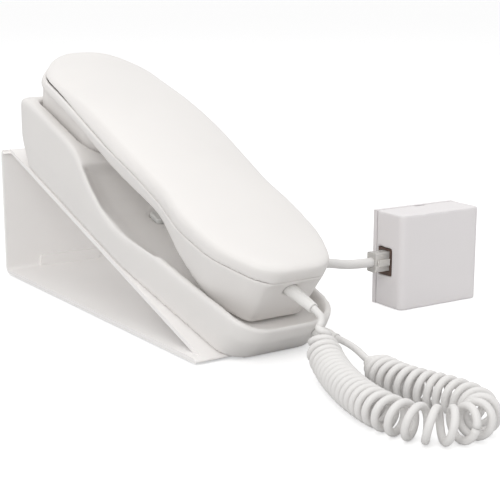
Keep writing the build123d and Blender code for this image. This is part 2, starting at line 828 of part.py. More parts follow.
with BuildPart() as bottom_bosses:
    with BuildSketch(nest):
        with Locations(*handset_bosses):
            Circle(handset_boss_radius)
    extrude(amount=handset_screw_seat)
    with BuildSketch(nest):
        with Locations(*board_posts):
            Circle(handset_post_radius)
    extrude(amount=handset_board_level)
    add(handset_outer, mode=Mode.INTERSECT)
with BuildPart() as handset_bottom_shell:
    add(handset_outer)
    add(handset_hollow, mode=Mode.SUBTRACT)
    add(parting_half(False), mode=Mode.SUBTRACT)
    add(bottom_bosses.part)
    with BuildSketch(nest):
        with Locations(*handset_bosses):
            Circle(plate_screw_head + screw_ease)
    extrude(amount=handset_screw_seat - handset_wall, mode=Mode.SUBTRACT)
    with BuildSketch(nest):
        with Locations(*handset_bosses):
            Circle(plate_screw_radius + screw_ease)
    extrude(amount=handset_screw_seat, mode=Mode.SUBTRACT)
    with BuildSketch(nest):
        with Locations((0, receiver_place)):
            Circle(earpiece_hole)
            with PolarLocations(earpiece_ring, earpiece_holes):
                Circle(earpiece_hole)
        with Locations((0, -microphone_place)):
            with GridLocations(microphone_hole_pitch, microphone_hole_pitch, 3, 1):
                Circle(microphone_hole)
    extrude(amount=pod_floor + overrun, mode=Mode.SUBTRACT)
    with BuildSketch(nest.offset(pod_floor)):
        with Locations((0, -microphone_place)):
            Circle(microphone_radius + microphone_holder_wall + screw_ease)
    extrude(amount=microphone_height + microphone_holder_floor, mode=Mode.SUBTRACT)
    with BuildSketch(Plane(handset_boot_root, z_dir=handset_boot_heading)):
        Circle(boot_root_radius)
    extrude(amount=handset_boot_depth, both=True, mode=Mode.SUBTRACT)
save(handset_bottom_shell.part, "handset_bottom_shell")

with BuildPart() as receiver_seal:
    with BuildSketch(nest.offset(pod_floor)):
        with Locations((0, receiver_place)):
            Circle(receiver_radius)
            Circle(receiver_radius - seal_width, mode=Mode.SUBTRACT)
    extrude(amount=seal_thickness)
save(receiver_seal.part, "receiver_seal")

with BuildPart() as earpiece_receiver:
    with BuildSketch(nest.offset(pod_floor + seal_thickness)):
        with Locations((0, receiver_place)):
            Circle(receiver_radius)
    extrude(amount=receiver_height / 2)
    with BuildSketch(nest.offset(pod_floor + seal_thickness + receiver_height / 2)):
        with Locations((0, receiver_place)):
            Circle(receiver_radius - seal_width)
    extrude(amount=receiver_height / 2)
save(earpiece_receiver.part, "earpiece_receiver")

with BuildPart() as microphone_holder:
    with BuildSketch(nest.offset(pod_floor)):
        with Locations((0, -microphone_place)):
            Circle(microphone_radius + microphone_holder_wall)
    extrude(amount=microphone_holder_floor + microphone_height)
    with BuildSketch(nest.offset(pod_floor + microphone_holder_floor)):
        with Locations((0, -microphone_place)):
            Circle(microphone_radius)
    extrude(amount=microphone_height, mode=Mode.SUBTRACT)
    with BuildSketch(nest.offset(pod_floor)):
        with Locations((0, -microphone_place)):
            Circle(microphone_hole)
    extrude(amount=microphone_holder_floor, mode=Mode.SUBTRACT)
save(microphone_holder.part, "microphone_holder")

with BuildPart() as microphone_capsule:
    with BuildSketch(nest.offset(pod_floor + microphone_holder_floor)):
        with Locations((0, -microphone_place)):
            Circle(microphone_radius - screw_ease)
    extrude(amount=microphone_height)
save(microphone_capsule.part, "microphone_capsule")

with BuildPart() as handset_circuit_board:
    with BuildSketch(nest.offset(handset_board_level)):
        with Locations((0, (handset_board_ear - handset_board_mouth) / 2)):
            Rectangle(handset_board_width, handset_board_ear + handset_board_mouth)
    extrude(amount=handset_board_thickness)
save(handset_circuit_board.part, "handset_circuit_board")

save(
    slotted_screw(
        nest.offset(handset_screw_seat - handset_wall), handset_bosses, plate_screw_radius,
        handset_screw_length, plate_screw_head, plate_screw_head_height,
    ),
    "handset_screws",
)


# Boots: short tapered sleeves with a rounded tip
def boot(root, heading, length, depth):
    """A cord boot from inside the wall at its root to its tip."""
    start = Plane(root, z_dir=heading)
    with BuildPart() as sleeve:
        with BuildSketch(start.offset(-depth)):
            Circle(boot_root_radius)
        extrude(amount=depth)
        with BuildSketch(start):
            Circle(boot_root_radius)
        with BuildSketch(start.offset(length)):
            Circle(boot_tip_radius)
        loft()
    return sleeve.part, start.offset(length)


handset_cord_boot, curly_start = boot(
    handset_boot_root, handset_boot_heading, handset_boot_length, handset_boot_depth
)
save(handset_cord_boot, "handset_cord_boot")
cradle_cord_boot, tail_end = boot(
    cradle_boot_root, cradle_boot_heading, cradle_boot_length, cradle_boot_depth
)
save(cradle_cord_boot, "cradle_cord_boot")


# Cords
def bend_radii(points):
    """The largest radius that each corner's two runs allow."""
    radii = []
    for before, corner, after in zip(points, points[1:], points[2:]):
        first, second = Vector(corner) - Vector(before), Vector(after) - Vector(corner)
        turn = radians(first.get_angle(second))
        radii.append(0.45 * min(first.length, second.length) / tan(turn / 2))
    return radii


def tube(name, points, diameter):
    """A round cord along straight runs joined by arcs."""
    radii = bend_radii(points)
    with BuildPart() as cord_tube:
        with BuildLine() as path:
            FilletPolyline(*points, radius=radii)
        with BuildSketch(Plane(path.line @ 0, z_dir=path.line % 0)):
            Circle(diameter / 2)
        sweep(transition=Transition.ROUND)
    length = path.wire().length
    expected = pi * diameter**2 / 4 * length
    print(name, "length %.0f, radii" % length, [round(radius, 1) for radius in radii],
          "volume %.0f, section times length %.0f" % (cord_tube.part.volume, expected))
    save(cord_tube.part, name)


def biarcs(points, headings):
    """Tangent arcs in pairs through the points, one pair for each stretch."""
    for start, end, out, into in zip(points, points[1:], headings, headings[1:]):
        span, both = end - start, out + into
        bend = 2 * (1 - out.dot(into))
        reach = span.dot(both)
        handle = ((reach * reach + bend * span.dot(span)) ** 0.5 - reach) / bend
        near, far = start + out * handle, end - into * handle
        joint = (near + far) / 2
        TangentArc(start, joint, tangent=out)
        TangentArc(joint, end, tangent=far - near)


def least_gap(points, spacing, diameter):
    """Least clear distance between a wound tube's turns, measured on points."""
    apart = ceil(1.5 * diameter / spacing)
    nearest = min(
        (points[i] - points[j]).length
        for i in range(len(points))
        for j in range(i + apart, min(len(points), i + 40 * apart))
    )
    return nearest - diameter


# Curly cord: a helix round a smooth route, whose radius grows from nothing at each end
tail_corner = tail_end.origin + tail_end.z_dir * tail_lead
curly_end = (Vector(curly_route[-1]) + tail_corner) / 2
curly_points = [
    curly_start.origin, curly_start.origin + curly_start.z_dir * curly_lead, *curly_route, curly_end,
]
with BuildLine() as curly_axis:
    FilletPolyline(*curly_points, radius=bend_radii(curly_points))
axis_wire = curly_axis.wire()
axis_length = axis_wire.length
axis_step = wire / 8


def curl_frame(place):
    """Point of the route, and two directions square to it, at a length along it."""
    share = min(max(place / axis_length, 0), 1)
    middle, ahead = axis_wire.position_at(share), axis_wire.tangent_at(share)
    across = ahead.cross(Vector(0, 0, 1)).normalized()
    return middle, across, across.cross(ahead)


def curl_size(place):
    """The helix's radius, smoothly growing at the start and shrinking at the end."""
    near = min(max(min(place - wire, axis_length - wire - place) / curl_ramp, 0), 1)
    return curl_radius * near * near * (3 - 2 * near)


turns = [0]
places = [wire]
while places[-1] < axis_length - wire:
    pitch = between(curl_pitch_shares, places[-1] / axis_length) * wire
    places.append(places[-1] + axis_step)
    turns.append(turns[-1] + axis_step / pitch)
quarters = round(turns[-1] * 4)
turn_scale = quarters / 4 / turns[-1]


def curl_point(turn):
    """Point of the wire after a number of turns."""
    step = min(sum(1 for value in turns if value * turn_scale < turn), len(turns) - 1)
    low = turns[step - 1] * turn_scale if step else 0
    high = turns[step] * turn_scale
    place = wire + (axis_length - 2 * wire) * (
        (step - 1 + (turn - low) / (high - low)) / (len(turns) - 1) if step else 0
    )
    middle, across, above = curl_frame(place)
    angle = 2 * pi * turn
    return middle + (across * cos(angle) + above * sin(angle)) * curl_size(place)


nudge = 0.002
wire_points = [curl_point(quarter / 4) for quarter in range(quarters + 1)]
wire_headings = [
    (curl_point(quarter / 4 + nudge) - curl_point(quarter / 4 - nudge)).normalized()
    for quarter in range(quarters + 1)
]
wire_headings[0] = axis_wire.tangent_at(0)
wire_headings[-1] = axis_wire.tangent_at(1)
with BuildPart() as curly_cord:
    with BuildLine() as curls:
        Line(curly_start.origin, wire_points[0])
        biarcs(wire_points, wire_headings)
        Line(wire_points[-1], axis_wire.position_at(1))
    with BuildSketch(Plane(curls.line @ 0, z_dir=curls.line % 0)):
        Circle(wire / 2)
    sweep()
curls_wire = curls.wire()
curl_samples = ceil(curls_wire.length / (wire / 4))
curl_track = [curls_wire.position_at(i / curl_samples) for i in range(curl_samples + 1)]
print("curly_cord route %.0f, wire %.0f, turns %.2f, least gap %.2f" % (
    axis_length, curls_wire.length, quarters / 4, least_gap(curl_track, wire / 4, wire)))
print("curly_cord volume %.0f, section times length %.0f" % (
    curly_cord.part.volume, pi * wire**2 / 4 * curls_wire.length))
save(curly_cord.part, "curly_cord")

tube("curly_cord_tail", [curly_end, tail_corner, tail_end.origin], wire)

# Line cord: from the plug to a put away coil behind the cradle, and from the coil to the gland
plug_rear = in_box(-plug_showing, jack_across, plug_level)


def coil_point(turn):
    """Point of the coil's centre line after a number of turns, wound clockwise from its left."""
    middle = coil_turns_in + coil_climb_turns / 2
    ring = middle - abs(turn - middle)
    climb = min(max((turn - coil_turns_in) / coil_climb_turns, 0), 1)
    angle = pi - 2 * pi * turn
    reach = coil_outer - coil_ring_pitch * ring
    lift = coil_layer_pitch * climb * climb * (3 - 2 * climb)
    return Vector(coil_centre[0] + reach * cos(angle), coil_centre[1] + reach * sin(angle), coil_rest + lift)


coil_quarters = round(4 * (coil_turns_in + coil_climb_turns + coil_turns_out))
coil_points = [coil_point(quarter / 4) for quarter in range(coil_quarters + 1)]
coil_headings = [
    (coil_point(quarter / 4 + nudge) - coil_point(quarter / 4 - nudge)).normalized()
    for quarter in range(coil_quarters + 1)
]
coil_headings[0] = Vector(0, 1, 0)
coil_headings[-1] = Vector(-1, 0, 0)
with BuildPart() as line_cord_coil:
    with BuildLine() as coil_path:
        Line(coil_points[0] - coil_headings[0] * cord, coil_points[0])
        biarcs(coil_points, coil_headings)
        Line(coil_points[-1], coil_points[-1] + coil_headings[-1] * cord)
    with BuildSketch(Plane(coil_path.line @ 0, z_dir=coil_path.line % 0)):
        Circle(cord / 2)
    sweep()
coil_wire = coil_path.wire()
coil_samples = ceil(coil_wire.length / (cord / 3))
coil_track = [coil_wire.position_at(i / coil_samples) for i in range(coil_samples + 1)]
print("line_cord_coil length %.0f, least gap %.2f, volume %.0f, section times length %.0f" % (
    coil_wire.length, least_gap(coil_track, cord / 3, cord), line_cord_coil.part.volume,
    pi * cord**2 / 4 * coil_wire.length))
save(line_cord_coil.part, "line_cord_coil")

gland_wall = on_deck(foot[0], gland_place, gland_height)
gland_axis = Plane(gland_wall, z_dir=nest.x_dir)
with BuildPart() as line_cord_gland:
    with BuildSketch(gland_axis.offset(-cradle_wall)):
        Circle(gland_radius)
    extrude(amount=gland_length)
    with BuildSketch(gland_axis.offset(cradle_wall / 2)):
        Circle(gland_collar)
    extrude(amount=gland_collar_thickness)
save(line_cord_gland.part, "line_cord_gland")
gland_tip = gland_wall + nest.x_dir * (gland_length - cradle_wall)

coil_entry = coil_path.line @ 0
coil_exit = coil_path.line @ 1
tube(
    "line_cord_inner",
    [
        plug_rear, plug_rear - box.x_dir * plug_lead, *inner_route,
        coil_entry - coil_headings[0] * coil_lead, coil_entry,
    ],
    cord,
)
tube(
    "line_cord_outer",
    [
        gland_tip, gland_tip + nest.x_dir * gland_lead, *outer_route,
        coil_exit + coil_headings[-1] * coil_lead, coil_exit,
    ],
    cord,
)

# Cord tie: a flat loop round one side of the coil
coil_inner = coil_outer - coil_ring_pitch * coil_turns_in
tie_low = coil_rest - cord / 2
tie_span = coil_ring_pitch * (coil_turns_in + 1) + cord + 2 * tie_clearance
tie_rise = coil_layer_pitch + cord + tie_clearance
with BuildPart() as cord_tie:
    tie_middle = (coil_centre[0], coil_centre[1] + (coil_inner + coil_outer + coil_ring_pitch / 2) / 2,
                  tie_low + tie_rise / 2)
    with BuildSketch(Plane(tie_middle, x_dir=(0, 1, 0), z_dir=(1, 0, 0))):
        RectangleRounded(tie_span + 2 * tie_thickness, tie_rise + 2 * tie_thickness, cord / 2)
        RectangleRounded(tie_span, tie_rise, cord / 2 - tie_thickness, mode=Mode.SUBTRACT)
    extrude(amount=tie_width / 2, both=True)
save(cord_tie.part, "cord_tie")

# Jack box on its edge: a cover open at the back and a base that closes it
cover_depth = box_depth - box_base
box_boss_places = [
    (hand * (box_width / 2 - box_boss_inset), end * (box_height / 2 - box_boss_inset))
    for hand, end in ((-1, 1), (1, -1))
]
box_middle = Plane(in_box(box_width / 2, 0, box_height / 2), x_dir=box.x_dir, z_dir=box.y_dir)
jack_opening = Plane(in_box(0, jack_across, jack_low + jack_height / 2), x_dir=box.y_dir, z_dir=box.x_dir)
with BuildPart() as box_cover:
    with BuildSketch(box):
        with Locations((box_width / 2, cover_depth / 2)):
            Rectangle(box_width, cover_depth)
    extrude(amount=box_height)
    fillet(box_cover.edges().filter_by(Axis.Z).sort_by(Axis.Y)[:2], box_edge)
    with BuildSketch(box_middle.offset(box_wall)):
        Rectangle(box_width - 2 * box_wall, box_height - 2 * box_wall)
    extrude(amount=box_depth, mode=Mode.SUBTRACT)
    with BuildSketch(box_middle.offset(box_wall / 2)):
        with Locations(*box_boss_places):
            Circle(box_boss_radius)
    extrude(amount=cover_depth - box_wall / 2)
    with BuildSketch(box_middle.offset(cover_depth)):
        with Locations(*box_boss_places):
            Circle(box_screw_radius + screw_ease)
    extrude(amount=box_base - box_screw_length, mode=Mode.SUBTRACT)
    with BuildSketch(jack_opening.offset(-overrun)):
        Rectangle(jack_width, jack_height)
    extrude(amount=box_wall + 2 * overrun, mode=Mode.SUBTRACT)
    with BuildSketch(Plane(in_box(box_notch_place, cover_depth, box_height), x_dir=box.x_dir)):
        Rectangle(box_notch_width, 2 * box_notch_depth)
    extrude(amount=-box_wall - overrun, mode=Mode.SUBTRACT)
save(box_cover.part, "box_cover")

with BuildPart() as box_back:
    with BuildSketch(box_middle.offset(cover_depth)):
        Rectangle(box_width, box_height)
    extrude(amount=box_base)
    with BuildSketch(box_middle.offset(cover_depth)):
        with Locations(*box_boss_places):
            Circle(box_screw_radius + screw_ease)
    extrude(amount=box_base, mode=Mode.SUBTRACT)
    with BuildSketch(box_middle.offset(box_depth)):
        with Locations(*box_boss_places):
            Circle(box_screw_head + screw_ease)
    extrude(amount=-box_screw_head_height, mode=Mode.SUBTRACT)
save(box_back.part, "box_back")

box_screw_plane = Plane(
    box_middle.offset(box_depth - box_screw_head_height).origin, x_dir=box.x_dir, z_dir=-box_middle.z_dir
)
save(
    slotted_screw(
        box_screw_plane, [(across, -up) for across, up in box_boss_places], box_screw_radius,
        box_screw_length - box_screw_head_height, box_screw_head, box_screw_head_height,
    ),
    "box_screws",
)

# Jack insert: a dark socket that reaches back to the base
plug_slot = Plane(in_box(0, jack_across, plug_level), x_dir=box.y_dir, z_dir=box.x_dir)
with BuildPart() as jack_insert:
    with BuildSketch(jack_opening.offset(jack_gap)):
        Rectangle(jack_width - 2 * jack_gap, jack_height - 2 * jack_gap)
    extrude(amount=jack_depth)
    with BuildSketch(jack_opening.offset(box_wall + jack_gap)):
        with Locations(((cover_depth - jack_across) / 2, 0)):
            Rectangle(cover_depth - jack_across, jack_height - 2 * jack_gap)
    extrude(amount=jack_depth - box_wall)
    with BuildSketch(plug_slot):
        Rectangle(plug_thickness + 2 * jack_gap, plug_width + 2 * jack_gap)
    extrude(amount=plug_length - plug_showing + jack_gap, mode=Mode.SUBTRACT)
save(jack_insert.part, "jack_insert")

# Clear plug with its latch, and its contacts in slots
plug_plane = plug_slot.offset(-plug_showing)
contact_places = [
    (plug_thickness / 2 - contact_depth / 2, (index - (contact_count - 1) / 2) * contact_pitch)
    for index in range(contact_count)
]
with BuildPart() as line_plug:
    with BuildSketch(plug_plane):
        Rectangle(plug_thickness, plug_width)
    extrude(amount=plug_length)
    fillet(line_plug.edges().filter_by(lambda edge: edge.length > plug_length - plug_edge), plug_edge)
    with BuildSketch(plug_plane.offset(plug_length - contact_length)):
        with Locations(*contact_places):
            Rectangle(contact_depth + plug_edge / 4, contact_width + 2 * screw_ease)
    extrude(amount=contact_length, mode=Mode.SUBTRACT)
    with BuildSketch(plug_plane.offset(plug_showing - latch_length)):
        with Locations((-plug_thickness / 2 - latch_thickness, 0)):
            Rectangle(latch_thickness, latch_width)
    extrude(amount=latch_length - jack_gap)
    with BuildSketch(plug_plane.offset(plug_showing - latch_thickness - jack_gap)):
        with Locations((-plug_thickness / 2 - latch_thickness / 2, 0)):
            Rectangle(2 * latch_thickness, latch_width)
    extrude(amount=latch_thickness)
save(line_plug.part, "line_plug")

with BuildPart() as plug_contacts:
    with BuildSketch(plug_plane.offset(plug_length - contact_length + screw_ease)):
        with Locations(*contact_places):
            Rectangle(contact_depth - 2 * screw_ease, contact_width)
    extrude(amount=contact_length - 2 * screw_ease)
save(plug_contacts.part, "plug_contacts")

with BuildPart() as jack_contacts:
    with BuildSketch(plug_slot.offset(jack_gap + jack_depth)):
        with GridLocations(contact_pitch, contact_pitch, 1, contact_count):
            Circle(contact_width)
    extrude(amount=contact_length)
save(jack_contacts.part, "jack_contacts")

with BuildPart() as box_terminals:
    with BuildSketch(box_middle.offset(cover_depth)):
        with Locations((terminal_pitch, 0)):
            with GridLocations(terminal_pitch, terminal_pitch, 2, 2):
                Circle(terminal_radius)
    extrude(amount=-terminal_height)
    with BuildSketch(box_middle.offset(cover_depth - terminal_height)):
        with Locations((terminal_pitch, 0)):
            with GridLocations(terminal_pitch, terminal_pitch, 2, 2):
                Rectangle(2 * terminal_radius, slot_width)
    extrude(amount=slot_width, mode=Mode.SUBTRACT)
save(box_terminals.part, "box_terminals")
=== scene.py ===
import bpy
from math import cos, pi, radians, sin
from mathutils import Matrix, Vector
import numpy as np


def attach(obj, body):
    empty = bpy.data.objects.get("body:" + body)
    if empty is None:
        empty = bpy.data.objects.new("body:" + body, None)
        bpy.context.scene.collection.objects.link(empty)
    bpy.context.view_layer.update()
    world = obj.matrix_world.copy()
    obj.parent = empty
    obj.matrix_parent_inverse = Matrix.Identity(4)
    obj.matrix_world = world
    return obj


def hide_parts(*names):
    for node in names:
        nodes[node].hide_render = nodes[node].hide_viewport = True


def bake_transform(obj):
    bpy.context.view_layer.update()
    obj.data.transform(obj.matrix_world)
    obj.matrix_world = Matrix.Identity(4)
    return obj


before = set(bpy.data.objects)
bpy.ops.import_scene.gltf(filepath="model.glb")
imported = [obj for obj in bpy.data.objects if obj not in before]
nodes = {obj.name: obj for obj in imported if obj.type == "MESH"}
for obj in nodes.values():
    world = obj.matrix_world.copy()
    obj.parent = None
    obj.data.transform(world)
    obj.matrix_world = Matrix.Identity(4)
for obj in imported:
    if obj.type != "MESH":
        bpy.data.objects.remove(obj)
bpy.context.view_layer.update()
collection = bpy.context.scene.collection
MM = 0.001

# Camera at the photograph's angle: 1200 pixels of focal length in a 500 pixel frame
LENS = 86.4
SENSOR = 36
CAMERA_PLACE = (-0.28705, -0.50360, 0.15528)
CAMERA_TILT = 77.5
CAMERA_YAW = -34.3
camera_data = bpy.data.cameras.new("camera")
camera_data.lens = LENS
camera_data.sensor_width = SENSOR
camera = bpy.data.objects.new("camera", camera_data)
camera.location = CAMERA_PLACE
camera.rotation_euler = (radians(CAMERA_TILT), 0, radians(CAMERA_YAW))
collection.objects.link(camera)
bpy.context.scene.camera = camera
bpy.context.scene.view_settings.view_transform = "Standard"


def eased(values):
    """A smooth rise from nothing to one."""
    values = np.clip(values, 0, 1)
    return values * values * (3 - 2 * values)


# Cords: routes in millimetres, all other lengths in metres
WIRE = 0.003
CURL_RADIUS = 0.0058
CURL_ROUTE = [
    (1.65, -126.45, 25.70), (2.43, -133.5, 22.99),
    (0.2, -133, 14.8), (-3, -140.5, 9.8), (-7.8, -152, 7.7), (-13.4, -165, 7.6), (-18.2, -179, 7.6),
    (-21.2, -193, 7.6), (-21.4, -205.5, 7.6), (-17.6, -216.5, 7.6), (-9.6, -223, 7.6), (0.6, -223, 7.6),
    (8.8, -217, 7.6), (11.4, -207, 7.6), (10.4, -197, 7.6), (7.4, -187, 7.6), (5.4, -176.5, 7.6),
    (6.4, -166, 7.6), (9.8, -154, 7.8), (16.2, -133.5, 9.8), (15.67, -124.58, 10.07),
]
# Share of the wound length and pitch in wire thicknesses
PITCHES = [
    (0, 3), (0.05, 2.7), (0.1, 1.7), (0.15, 1.28), (0.36, 1.27), (0.42, 1.8), (0.47, 2.08),
    (0.65, 2.08), (0.71, 1.7), (0.76, 1.36), (0.84, 1.43), (0.92, 1.5), (0.96, 1.9), (1, 2.1),
]
TAIL = 0.020
TAIL_GAP = 0.0005
CURL_RAMP = 0.020
ROUTE_STEPS = 24
WINDING_STEPS = 4000
CURL_STEPS = 24
TUBE_SIDES = 14
BEVEL_STEPS = 5

CORD = 0.0046
CORD_STEPS = 10
COIL_CENTRE = (97, 80)
COIL_TURNS = 7.75
COIL_STEPS = 16
LAYER_TURNS = 3.75
CLIMB_START = 3.5
CLIMB_TURNS = 0.5
COIL_REACH = 36
RING_STEP = 5.2
LAYER_STEP = 5.1
COIL_REST = 3.1
COIL_LEADS = (4.6, 18.6)
GLAND_TIP = (41.1, -13.81, 38.27)
OUTER_ROUTE = [(53.1, -13.81, 38.27), (62.5, -8, 32.5), (67, 6, 23.8), (67.4, 21.5, 14.2), (69, 34.5, 8.95)]
INNER_ROUTE = [
    (58, -61.4, 25.2), (47, -52, 22), (43.4, -35, 13.5), (44.2, -17, 6.6), (47, 3, 3.7),
    (52, 23, 3.2), (58, 43, 3.12),
]
PLUG_REAR = (82.46, -66.73, 23)
PLUG_LEAD = (-13, 0.45)


def spline_curve(name, points, resolution, radius=0):
    """A NURBS curve through given control points, a tube if it has a radius."""
    data = bpy.data.curves.new(name, "CURVE")
    data.dimensions = "3D"
    data.resolution_u = resolution
    data.bevel_depth = radius
    data.bevel_resolution = BEVEL_STEPS
    spline = data.splines.new("NURBS")
    spline.points.add(len(points) - 1)
    for slot, point in zip(spline.points, points):
        slot.co = (*point, 1)
    spline.order_u = 3
    spline.use_endpoint_u = True
    curve = bpy.data.objects.new(name, data)
    collection.objects.link(curve)
    return curve


def spline_points(points, resolution):
    """Points along the route's own NURBS spline."""
    guide = spline_curve("guide", points, resolution)
    bpy.context.view_layer.update()
    mesh = bpy.data.meshes.new_from_object(guide)
    track = np.array([vertex.co for vertex in mesh.vertices])
    bpy.data.objects.remove(guide)
    return track


def track_length(track):
    """Length of a polyline."""
    return float(np.linalg.norm(np.diff(track, axis=0), axis=1).sum())


def tube_mesh(name, track, radius):
    """A tube round a track of points, closed at both ends."""
    ahead = np.gradient(track, axis=0)
    ahead /= np.linalg.norm(ahead, axis=1)[:, None]
    side = np.cross(ahead[0], (0, 0, 1))
    angles = [2 * pi * k / TUBE_SIDES for k in range(TUBE_SIDES)]
    rings = []
    for centre, heading in zip(track, ahead):
        side = side - heading * side.dot(heading)
        side /= np.linalg.norm(side)
        up = np.cross(heading, side)
        rings += [centre + radius * (side * cos(angle) + up * sin(angle)) for angle in angles]
    last = (len(track) - 1) * TUBE_SIDES
    faces = []
    for start in range(0, last, TUBE_SIDES):
        for k in range(TUBE_SIDES):
            beside = (k + 1) % TUBE_SIDES
            faces.append((start + k, start + beside, start + TUBE_SIDES + beside, start + TUBE_SIDES + k))
    faces.append(tuple(range(TUBE_SIDES))[::-1])
    faces.append(tuple(range(last, last + TUBE_SIDES)))
    mesh = bpy.data.meshes.new(name)
    mesh.from_pydata([tuple(point) for point in rings], [], faces)
    mesh.shade_smooth()
    piece = bpy.data.objects.new(name, mesh)
    collection.objects.link(piece)
    return piece


def curls(route):
    """Points of the curly cord's wire, wound round the route with a varying pitch."""
    axis = spline_points([[v * MM for v in point] for point in route], ROUTE_STEPS)
    run = np.concatenate([[0], np.cumsum(np.linalg.norm(np.diff(axis, axis=0), axis=1))])
    wound = run[-1] - TAIL
    places = np.linspace(0, wound, WINDING_STEPS)
    pitch = np.interp(places / wound, *zip(*PITCHES)) * WIRE
    turns = np.concatenate([[0], np.cumsum(np.diff(places) / pitch[1:])])
    count = round(turns[-1])
    turns *= count / turns[-1]
    marks = np.arange(count * CURL_STEPS + 1) / CURL_STEPS
    at = np.interp(marks, turns, places)
    angle = 2 * pi * marks
    middle = np.stack([np.interp(at, run, axis[:, i]) for i in range(3)], axis=1)
    ahead = np.stack([np.interp(at, run, np.gradient(axis[:, i], run)) for i in range(3)], axis=1)
    ahead /= np.linalg.norm(ahead, axis=1)[:, None]
    across = np.cross(ahead, (0, 0, 1))
    across /= np.linalg.norm(across, axis=1)[:, None]
    above = np.cross(across, ahead)
    reach = CURL_RADIUS * eased(np.minimum(at - WIRE, wound - WIRE - at) / CURL_RAMP)
    wire = middle + (across * np.cos(angle)[:, None] + above * np.sin(angle)[:, None]) * reach[:, None]
    return np.concatenate([wire, axis[run > wound + TAIL_GAP]]), count


def coil_point(turn):
    """Point of the put-away coil after a number of turns, in millimetres."""
    ring = LAYER_TURNS - abs(turn - LAYER_TURNS)
    angle = pi - 2 * pi * turn
    reach = COIL_REACH - RING_STEP * ring
    lift = LAYER_STEP * float(eased((turn - CLIMB_START) / CLIMB_TURNS))
    return (COIL_CENTRE[0] + reach * cos(angle), COIL_CENTRE[1] + reach * sin(angle), COIL_REST + lift)


curl_track, curl_count = curls(CURL_ROUTE)
split = int(np.argmin(curl_track[:, 1]))
near_curls = tube_mesh("curly_cord_handset_end", curl_track[:split + 1], WIRE / 2)
far_curls = tube_mesh("curly_cord_cradle_end", curl_track[split:], WIRE / 2)
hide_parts("curly_cord")
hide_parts("curly_cord", "curly_cord_tail")

coil = [coil_point(step / COIL_STEPS) for step in range(int(COIL_TURNS * COIL_STEPS) + 1)]
first, last = coil[0], coil[-1]
line_route = [
    GLAND_TIP, *OUTER_ROUTE,
    *[(COIL_CENTRE[0] - lead, last[1], last[2]) for lead in COIL_LEADS[::-1]],
    *coil[::-1],
    *[(first[0], first[1] - lead, first[2]) for lead in COIL_LEADS],
    *INNER_ROUTE[::-1],
    (PLUG_REAR[0] + PLUG_LEAD[0], PLUG_REAR[1] + PLUG_LEAD[1], PLUG_REAR[2]), PLUG_REAR,
]
line_route = [tuple(v * MM for v in point) for point in line_route]
line_cord = spline_curve("line_cord", line_route, CORD_STEPS, CORD / 2)
line_cord.data.use_fill_caps = True
line_length = track_length(spline_points(line_route, CORD_STEPS))
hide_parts("line_cord_inner", "line_cord_coil", "line_cord_outer")
print("curls", curl_count, "wire", round(track_length(curl_track), 3), "line cord", round(line_length, 3))

# Materials
TONE_SCALE = 22
TONE_DETAIL = 3
GRAIN_DETAIL = 2
TONE_LOW, TONE_HIGH = 0.3, 0.7
SMOOTHER, ROUGHER = 0.05, 0.06
GRAIN_STRENGTH = 0.35
PLASTIC_IOR = 1.48
COAT_ROUGH = 0.25
MARK_SCALE = 900
MARK_DETAIL = 3
MARK_DEPTH = 0.00003
MARK_SHADE = 0.8
CLEAR_COLOUR = (0.92, 0.9, 0.87, 1)
CLEAR_ROUGH = 0.12
CLEAR_PASS = 0.5
CLEAR_IOR = 1.49
FLOW_SCALE = 260
FLOW_DEPTH = 0.0001
FLOW_STRENGTH = 0.4


def material(name):
    """A node material and its main shader."""
    made = bpy.data.materials.new(name)
    made.use_nodes = True
    return made, made.node_tree.nodes, made.node_tree.links, made.node_tree.nodes["Principled BSDF"]


def noise(tree, links, place, scale, detail=None):
    """Noise of one scale at a place."""
    made = tree.new("ShaderNodeTexNoise")
    made.inputs["Scale"].default_value = scale
    if detail:
        made.inputs["Detail"].default_value = detail
    links.new(place, made.inputs["Vector"])
    return made.outputs["Fac"]


def bumped(tree, links, shader, height, depth, strength=1):
    """Gives a shader a fine relief."""
    bump = tree.new("ShaderNodeBump")
    bump.inputs["Strength"].default_value = strength
    bump.inputs["Distance"].default_value = depth
    links.new(height, bump.inputs["Height"])
    links.new(bump.outputs["Normal"], shader.inputs["Normal"])


def plastic(name, colour, rough, grain, depth, tone=0.02, coat=0.0):
    """Moulded plastic: fine texture, slow variation of tone and of gloss."""
    made, tree, links, shader = material(name)
    place = tree.new("ShaderNodeTexCoord").outputs["Object"]
    slow = noise(tree, links, place, TONE_SCALE, TONE_DETAIL)
    fine = noise(tree, links, place, grain, GRAIN_DETAIL)
    tones = tree.new("ShaderNodeValToRGB")
    dark, light = tones.color_ramp.elements
    dark.position, light.position = TONE_LOW, TONE_HIGH
    dark.color = (*[c * (1 - tone) for c in colour], 1)
    light.color = (*[min(1, c * (1 + tone / 2)) for c in colour], 1)
    links.new(slow, tones.inputs["Fac"])
    links.new(tones.outputs["Color"], shader.inputs["Base Color"])
    gloss = tree.new("ShaderNodeMapRange")
    gloss.inputs["From Min"].default_value = TONE_LOW
    gloss.inputs["From Max"].default_value = TONE_HIGH
    gloss.inputs["To Min"].default_value = rough - SMOOTHER
    gloss.inputs["To Max"].default_value = rough + ROUGHER
    links.new(slow, gloss.inputs["Value"])
    links.new(gloss.outputs["Result"], shader.inputs["Roughness"])
    bumped(tree, links, shader, fine, depth, GRAIN_STRENGTH)
    shader.inputs["IOR"].default_value = PLASTIC_IOR
    shader.inputs["Coat Weight"].default_value = coat
    shader.inputs["Coat Roughness"].default_value = COAT_ROUGH
    return made


